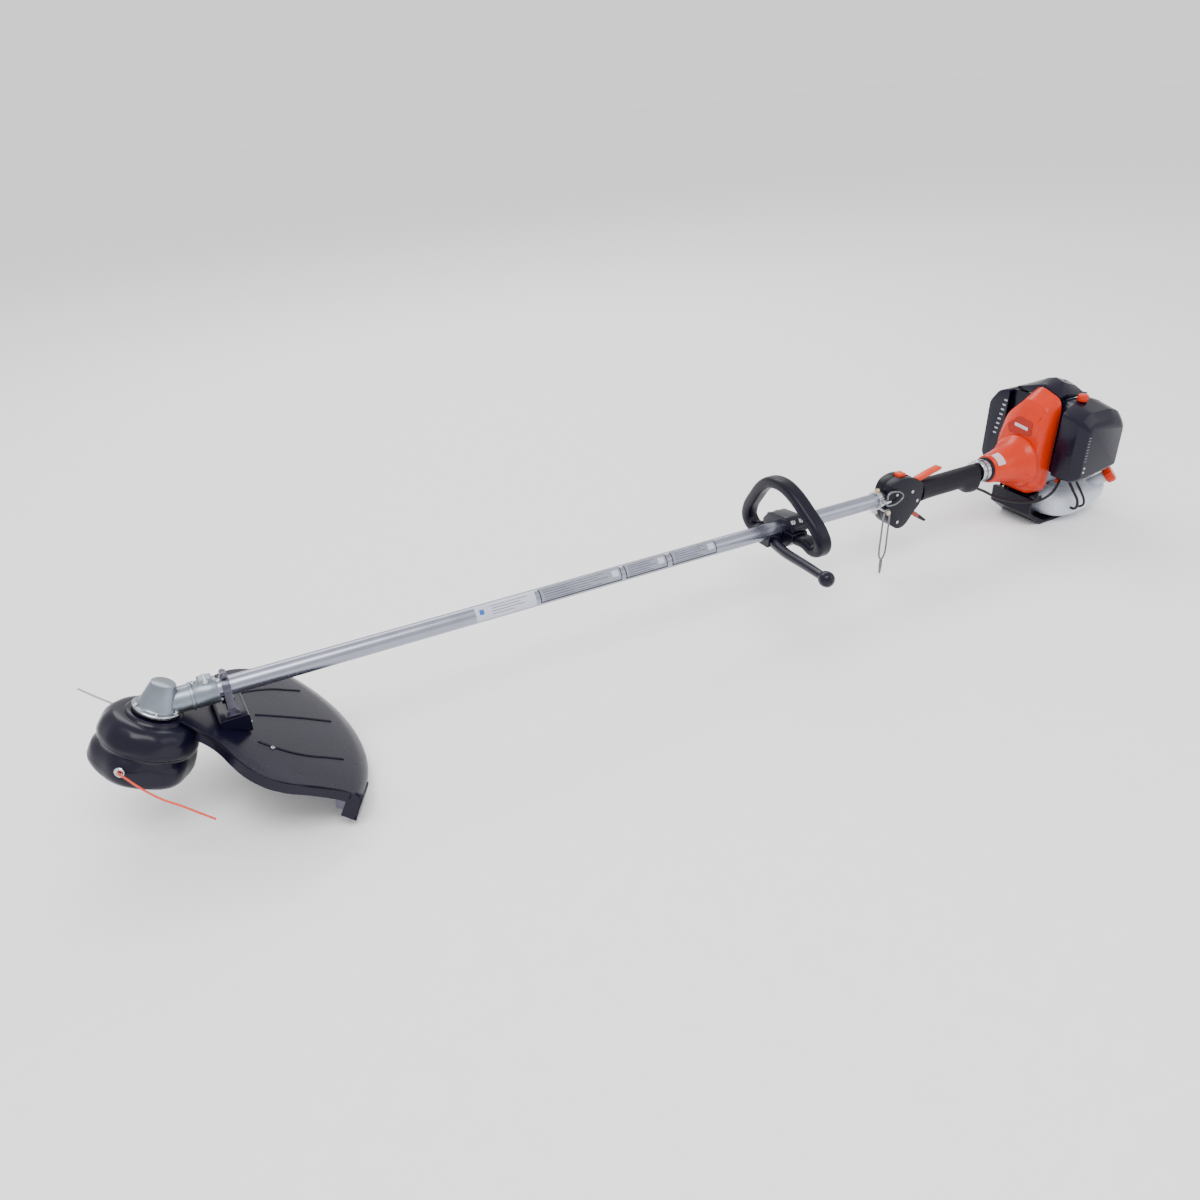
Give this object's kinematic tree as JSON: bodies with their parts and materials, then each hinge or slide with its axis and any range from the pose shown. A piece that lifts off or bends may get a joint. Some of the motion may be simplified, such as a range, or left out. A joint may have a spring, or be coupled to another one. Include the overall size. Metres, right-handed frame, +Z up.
{
  "type": "brush cutter",
  "caption": "Petrol brush cutter: line trimmer head and shield on a straight shaft, loop handle, throttle grip and rear engine with a tank.",
  "frame": {"origin": "centre of the bottom face of the stand's foot, on the floor", "axes": "+X from the trimmer head to the engine, +Z up from the floor; the shaft falls 1.61 degrees towards the engine"},
  "size_m": [1.8363, 0.3618, 0.2755],
  "materials": {
    "alloy_case": "cast, satin",
    "steel": "machined",
    "bright_steel": "zinc plated",
    "black_plastic": "moulded, semi-gloss",
    "black_rubber": "matte",
    "orange_plastic": "moulded, glossy",
    "red_plastic": "moulded",
    "red_nylon": "nylon line",
    "grey_nylon": "nylon line",
    "tube_metal": "anodised",
    "clear_plastic": "translucent white",
    "filter_foam": "foam"
  },
  "bodies": {
    "frame": {"gear_case": "alloy_case", "spindle_bearing": "bright_steel", "shield": "black_plastic", "shield_bracket": "bright_steel", "line_cutter": "steel", "shaft_tube": "tube_metal", "shaft_bush_1": "black_rubber", "shaft_bush_2": "black_rubber", "loop_handle": "black_rubber", "handle_clamp": "black_plastic", "barrier_bar": "black_plastic", "hanger_clamp": "bright_steel", "throttle_housing_left": "black_plastic", "throttle_housing_right": "black_plastic", "rear_grip": "black_rubber", "throttle_cable": "black_rubber", "clutch_collar": "alloy_case", "clutch_case": "orange_plastic", "engine_cover": "orange_plastic", "crankcase": "alloy_case", "cylinder": "alloy_case", "piston": "alloy_case", "spark_plug": "bright_steel", "muffler": "steel", "muffler_guard": "black_plastic", "top_cover": "black_plastic", "carburettor": "alloy_case", "air_filter": "filter_foam", "starter_housing": "black_plastic", "fuel_tank": "clear_plastic", "fuel_line": "black_rubber", "tank_stand": "black_plastic"},
    "head": {"output_gear": "steel", "output_spindle": "steel", "head_housing": "black_plastic", "head_cover": "black_plastic", "eyelet_1": "bright_steel", "eyelet_2": "bright_steel", "cutting_line_1": "red_nylon", "cutting_line_2": "grey_nylon"},
    "spool": {"line_spool": "black_plastic", "bump_knob": "black_plastic"},
    "drive": {"drive_shaft": "steel", "pinion_gear": "steel", "clutch_drum": "steel"},
    "crank": {"crankshaft": "steel", "flywheel": "alloy_case", "clutch_rotor": "steel"},
    "trigger": {"throttle_trigger": "red_plastic"},
    "lockout": {"lockout_lever": "orange_plastic"},
    "switch": {"stop_switch": "orange_plastic"},
    "ring": {"hanger_ring": "bright_steel"},
    "clip": {"harness_clip": "bright_steel"},
    "pull_handle": {"starter_handle": "black_plastic"},
    "pulley": {"starter_pulley": "black_plastic"},
    "cap": {"fuel_cap": "orange_plastic"},
    "cleaner_cover": {"air_cleaner_cover": "black_plastic"},
    "knob": {"cover_knob": "orange_plastic"},
    "primer": {"primer_bulb": "clear_plastic"},
    "choke": {"choke_lever": "orange_plastic"}
  },
  "joints": [
    {"name": "head_spin", "type": "hinge", "parent": "frame", "child": "head", "pos_m": [-1.63585, 0, 0.1707], "axis": [0.465, 0, 0.8853], "continuous": true},
    {"name": "bump_press", "type": "slide", "parent": "head", "child": "spool", "axis": [0.465, 0, 0.8853], "range_m": [0, 0.006], "stiffness_N_per_m": 2000},
    {"name": "drive_spin", "type": "hinge", "parent": "frame", "child": "drive", "pos_m": [-1.53589, 0, 0.16789], "axis": [0.9996, 0, -0.0281], "continuous": true},
    {"name": "crank_spin", "type": "hinge", "parent": "frame", "child": "crank", "pos_m": [-0.02149, 0, 0.12532], "axis": [0.9996, 0, -0.0281], "continuous": true},
    {"name": "trigger_pull", "type": "hinge", "parent": "frame", "child": "trigger", "pos_m": [-0.38122, 0, 0.10442], "axis": [0, -1, 0], "range_deg": [0, 22], "stiffness_Nm_per_rad": 0.6, "springref_deg": -5.73},
    {"name": "lockout_press", "type": "hinge", "parent": "frame", "child": "lockout", "pos_m": [-0.35182, 0, 0.15362], "axis": [0, 1, 0], "range_deg": [0, 6], "stiffness_Nm_per_rad": 1, "springref_deg": -5.73},
    {"name": "switch_slide", "type": "slide", "parent": "frame", "child": "switch", "axis": [0.9996, 0, -0.0281], "range_m": [0, 0.006]},
    {"name": "ring_swing", "type": "hinge", "parent": "frame", "child": "ring", "pos_m": [-0.44132, -0.0235, 0.13712], "axis": [0.0281, 0, 0.9996], "range_deg": [-120, 0]},
    {"name": "clip_swing", "type": "hinge", "parent": "frame", "child": "clip", "pos_m": [-0.44466, -0.0284, 0.12521], "axis": [0, 1, 0], "range_deg": [-60, 60]},
    {"name": "starter_pull", "type": "slide", "parent": "frame", "child": "pull_handle", "axis": [0.0281, 0, 0.9996], "range_m": [0, 0.6], "stiffness_N_per_m": 12, "springref_m": -0.3},
    {"name": "pulley_spin", "type": "hinge", "parent": "frame", "child": "pulley", "pos_m": [0.07447, 0, 0.12263], "axis": [0.9996, 0, -0.0281], "range_deg": [0, 1440]},
    {"name": "cap_turn", "type": "hinge", "parent": "frame", "child": "cap", "pos_m": [0.07776, -0.054, 0.06151], "axis": [0.5187, -0.6017, 0.6074], "range_deg": [0, 360]},
    {"name": "cover_pull", "type": "slide", "parent": "frame", "child": "cleaner_cover", "axis": [0, -1, 0], "range_m": [0, 0.06]},
    {"name": "knob_turn", "type": "hinge", "parent": "cleaner_cover", "child": "knob", "pos_m": [-0.02111, -0.06, 0.24536], "axis": [0.0281, 0, 0.9996], "range_deg": [0, 360]},
    {"name": "primer_press", "type": "slide", "parent": "frame", "child": "primer", "axis": [0.0281, 0, 0.9996], "range_m": [0, 0.004], "stiffness_N_per_m": 400},
    {"name": "choke_turn", "type": "hinge", "parent": "frame", "child": "choke", "pos_m": [-0.03363, -0.052, 0.12046], "axis": [0, -1, 0], "range_deg": [0, 45]}
  ],
  "couplings": [
    {"joint": "drive_spin", "follows": "head_spin", "ratio": -1.4},
    {"joint": "pulley_spin", "follows": "starter_pull", "rad_per_m": 41.667}
  ]
}
